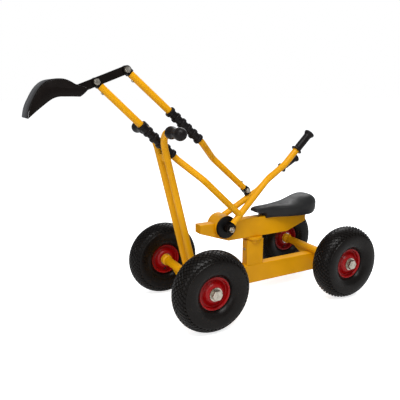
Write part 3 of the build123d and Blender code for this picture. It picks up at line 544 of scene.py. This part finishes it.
def make_seat():
    """Crowned saddle: overhanging nose, hanging skirt beside the house, raised tail."""
    plan = smooth_run(SEAT_PLAN, 6)
    top = smooth_run(SEAT_TOP, 6)
    middle = (SEAT_PLAN[0][0] + SEAT_PLAN[-1][0]) / 2
    reach = (SEAT_PLAN[0][0] - SEAT_PLAN[-1][0]) / 2
    stations = [middle + reach * math.cos(math.pi * k / 72) for k in range(73)]
    stations = sorted(stations + [SEAT_UNDER[3][0], SEAT_UNDER[4][0]], reverse=True)
    verts = []
    faces = []
    for x in stations:
        half = seat_section(x, plan, top, SEAT_UNDER)
        ring = half + [(-y, z) for y, z in reversed(half[1:-1])]
        verts += [(x * MM, y * MM, z * MM) for y, z in ring]
    count = len(verts) // len(stations)
    for i in range(len(stations) - 1):
        for k in range(count):
            n = (k + 1) % count
            faces.append((i * count + k, i * count + n, (i + 1) * count + n, (i + 1) * count + k))
    faces.append(tuple(range(count)))
    faces.append(tuple(reversed(range((len(stations) - 1) * count, len(stations) * count))))
    return piece("seat_saddle", verts, faces, "house", "seat_plastic", 48.0, ("seat",))


# ---------------------------------------------------------------- bucket

BUCKET_BACK = [(575.5, 655.5), (572, 673), (566.5, 689), (558, 705), (549.5, 720), (539, 734.5), (526, 746.5),
               (512, 753.5), (496, 756), (478, 755.5), (463, 750.5), (449, 742.5)]
BUCKET_HEEL = [(433, 738), (419, 733), (416.5, 731), (422, 725), (430, 718), (438, 713)]
BUCKET_MOUTH = [(446, 711.5), (478, 711.5), (494, 711), (511, 705.5), (529, 693), (553, 674.5)]
BUCKET_HALF_W = 47.5
SHEET_T = 2.5
EDGE_ROUND = 0.7


def normals_of(outline, closed):
    """Unit normal at each point of an outline, to the right of its direction."""
    found = []
    last = len(outline) - 1
    for i in range(len(outline)):
        before = outline[i - 1] if closed else outline[max(i - 1, 0)]
        after = outline[(i + 1) % len(outline)] if closed else outline[min(i + 1, last)]
        dx = after[0] - before[0]
        dz = after[1] - before[1]
        size = max(math.hypot(dx, dz), 1e-6)
        found.append((dz / size, -dx / size))
    return found


def rounded_plate(outline, low, high):
    """Flat plate between two Y heights in mm with rounded edges."""
    area = sum(p[0] * q[1] - q[0] * p[1] for p, q in zip(outline, outline[1:] + outline[:1]))
    inward = -1 if area > 0 else 1
    lean = normals_of(outline, True)
    verts = []
    faces = []
    levels = ((low, 1.0), (low + 0.3 * EDGE_ROUND, 0.3), (low + EDGE_ROUND, 0.0),
              (high - EDGE_ROUND, 0.0), (high - 0.3 * EDGE_ROUND, 0.3), (high, 1.0))
    for y, share in levels:
        move = inward * share * EDGE_ROUND
        for (x, z), n in zip(outline, lean):
            verts.append(((x + n[0] * move) * MM, y * MM, (z + n[1] * move) * MM))
    count = len(outline)
    for level in range(len(levels) - 1):
        for k in range(count):
            n = (k + 1) % count
            a = level * count
            faces.append((a + k, a + n, a + count + n, a + count + k))
    faces.append(tuple(range(count)))
    faces.append(tuple(reversed(range((len(levels) - 1) * count, len(levels) * count))))
    return verts, faces


def make_bucket():
    """Bent sheet with a rolled run between two side plates."""
    run = smooth_run(BUCKET_BACK, 4) + smooth_run(BUCKET_HEEL, 4)
    outward = normals_of(run, False)
    outer = [(x + n[0] * SHEET_T, z + n[1] * SHEET_T) for (x, z), n in zip(run, outward)]
    inner = [(x + n[0] * 0.05, z + n[1] * 0.05) for (x, z), n in zip(run, outward)]
    side = BUCKET_HALF_W - SHEET_T
    verts, faces = rounded_plate(inner + list(reversed(outer)), -side, side)
    piece("bucket_sheet", verts, faces, "bucket", "black_paint", 45.0, ("bucket_shell",))
    cheek = run + smooth_run(BUCKET_MOUTH, 4)
    verts = []
    faces = []
    for low, high in ((-BUCKET_HALF_W, -side), (side, BUCKET_HALF_W)):
        part, sheets = rounded_plate(cheek, low, high)
        start = len(verts)
        verts += part
        faces += [tuple(i + start for i in f) for f in sheets]
    piece("bucket_cheeks", verts, faces, "bucket", "black_paint", 45.0, ("bucket_side_plates",))


# ---------------------------------------------------------------- weld seams

SEAM_R = 1.8
SEAM_STEP = 0.9


def seam(name, path, body):
    """Rippled weld bead along a path of points in mm."""
    samples = []
    for p, q in zip(path, path[1:]):
        p = Vector(p)
        q = Vector(q)
        steps = max(2, int((q - p).length / SEAM_STEP))
        samples += [p.lerp(q, k / steps) for k in range(steps)]
    samples.append(Vector(path[-1]))
    verts = []
    faces = []
    for i, at in enumerate(samples):
        ahead = samples[min(i + 1, len(samples) - 1)] - samples[max(i - 1, 0)]
        matrix = frame_at(at * MM, ahead)
        size = SEAM_R * (1 + 0.13 * math.sin(2 * math.pi * i / 4))
        if i in (0, len(samples) - 1):
            size *= 0.5
        for k in range(8):
            t = 2 * math.pi * k / 8
            verts.append(tuple(matrix @ Vector((0, size * MM * math.cos(t), size * MM * math.sin(t)))))
    for i in range(len(samples) - 1):
        for k in range(8):
            n = (k + 1) % 8
            faces.append((i * 8 + k, i * 8 + n, (i + 1) * 8 + n, (i + 1) * 8 + k))
    faces.append(tuple(range(8)))
    faces.append(tuple(reversed(range((len(samples) - 1) * 8, len(samples) * 8))))
    return piece("seam_" + name, verts, faces, body, "yellow_paint", 60.0)


def box_mm(node):
    low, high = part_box(node)
    return [v / MM for v in low], [v / MM for v in high]


def make_seams():
    column_low, column_high = box_mm("column")
    for end, x in (("rear", column_low[0]), ("front", column_high[0])):
        seam("column_" + end, [(x, -16, column_low[2]), (x, 16, column_low[2])], "chassis")
    beam_top = box_mm("chassis_beam")[1][2]
    for end in ("front", "rear"):
        centre = centre_of(end + "_axle_tube") / MM
        for side, way in (("ahead", 1), ("behind", -1)):
            x = centre.x + way * 6.5
            seam(end + "_axle_" + side, [(x, -15, beam_top + 0.6), (x, 15, beam_top + 0.6)], "chassis")
    nose = centre_of("pivot_drum") / MM
    house_top = box_mm("house_shell")[1][2]
    for side, way in (("ahead", 1), ("behind", -1)):
        x = nose.x + way * 37.5
        seam("drum_" + side, [(x, -16, house_top), (x, 16, house_top)], "house")


make_bellows("boom_bellows", "boom", BOOM_DEG, BOOM_PITCH)
make_bellows("link_bellows", "link", LINK_DEG, LINK_PITCH)
for hand in HANDS:
    make_handle_grip(hand)
make_lever_grip("left", "boom")
make_lever_grip("right", "right_lever")
make_seat()
make_bucket()
make_seams()


# ---------------------------------------------------------------- stage

def soft_light(name, spot, aim, size, power, colour=(1, 1, 1)):
    data = bpy.data.lights.new(name, "AREA")
    data.shape = "RECTANGLE"
    data.size, data.size_y = size
    data.energy = power
    data.color = colour
    obj = bpy.data.objects.new(name, data)
    bpy.context.scene.collection.objects.link(obj)
    obj.location = spot
    obj.rotation_euler = (Vector(aim) - Vector(spot)).to_track_quat("-Z", "Y").to_euler()
    return obj


FLOOR_LIFT = 0.8


def make_floor():
    """White paper sweep, lifted for the camera so it blends into the background."""
    verts, faces = [(-40, -40, 0), (40, -40, 0), (40, 40, 0), (-40, 40, 0)], [(0, 1, 2, 3)]
    mesh = bpy.data.meshes.new("studio_floor")
    mesh.from_pydata(verts, [], faces)
    floor = bpy.data.objects.new("studio_floor", mesh)
    bpy.context.scene.collection.objects.link(floor)
    mat, tree, shader, coord = tree_of("floor_paper")
    cloud = noise(tree, coord, 0.7, 3.0, 0.5)
    paper = ramp(tree, cloud, [(0.3, (0.90, 0.90, 0.90)), (0.7, (0.93, 0.93, 0.925))])
    tree.links.new(paper, shader.inputs["Base Color"])
    tree.links.new(spread(tree, noise(tree, coord, 30.0), 0.75, 0.9), shader.inputs["Roughness"])
    shader.inputs["Specular IOR Level"].default_value = 0.1
    lift = tree.nodes.new("ShaderNodeEmission")
    lift.inputs["Strength"].default_value = FLOOR_LIFT
    tree.links.new(paper, lift.inputs["Color"])
    bright = tree.nodes.new("ShaderNodeAddShader")
    tree.links.new(shader.outputs["BSDF"], bright.inputs[0])
    tree.links.new(lift.outputs["Emission"], bright.inputs[1])
    path = tree.nodes.new("ShaderNodeLightPath")
    mix = tree.nodes.new("ShaderNodeMixShader")
    tree.links.new(path.outputs["Is Camera Ray"], mix.inputs["Fac"])
    tree.links.new(shader.outputs["BSDF"], mix.inputs[1])
    tree.links.new(bright.outputs["Shader"], mix.inputs[2])
    tree.links.new(mix.outputs["Shader"], tree.nodes["Material Output"].inputs["Surface"])
    mesh.materials.append(mat)


def make_world():
    world = bpy.data.worlds.new("studio")
    bpy.context.scene.world = world
    world.use_nodes = True
    tree = world.node_tree
    back = tree.nodes["Background"]
    back.inputs["Color"].default_value = (0.92, 0.95, 1.0, 1.0)
    back.inputs["Strength"].default_value = 0.42
    seen = tree.nodes.new("ShaderNodeBackground")
    seen.inputs["Color"].default_value = (1, 1, 1, 1)
    seen.inputs["Strength"].default_value = 1.0
    path = tree.nodes.new("ShaderNodeLightPath")
    mix = tree.nodes.new("ShaderNodeMixShader")
    tree.links.new(path.outputs["Is Camera Ray"], mix.inputs["Fac"])
    tree.links.new(back.outputs["Background"], mix.inputs[1])
    tree.links.new(seen.outputs["Background"], mix.inputs[2])
    tree.links.new(mix.outputs["Shader"], tree.nodes["World Output"].inputs["Surface"])


def make_camera():
    data = bpy.data.cameras.new("view")
    data.lens = 43.17
    data.sensor_width = 36.0
    camera = bpy.data.objects.new("view", data)
    bpy.context.scene.collection.objects.link(camera)
    yaw = math.radians(-118.6)
    pitch = math.radians(12.63)
    ahead = Vector((math.cos(pitch) * math.cos(yaw), math.cos(pitch) * math.sin(yaw), -math.sin(pitch)))
    camera.location = (0.7871, 1.3636, 0.7221)
    camera.rotation_euler = ahead.to_track_quat("-Z", "Y").to_euler()
    bpy.context.scene.camera = camera


make_floor()
make_world()
make_camera()
soft_light("key_above", (0.6, 1.2, 2.6), (0, 0, 0.3), (1.8, 1.4), 66)
soft_light("fill_front", (2.4, 1.6, 1.2), (0, 0, 0.4), (1.6, 1.6), 18)
soft_light("rim_back", (-1.6, -1.8, 2.2), (0, 0, 0.4), (2.0, 1.2), 30)
bpy.context.scene.view_settings.view_transform = "Standard"
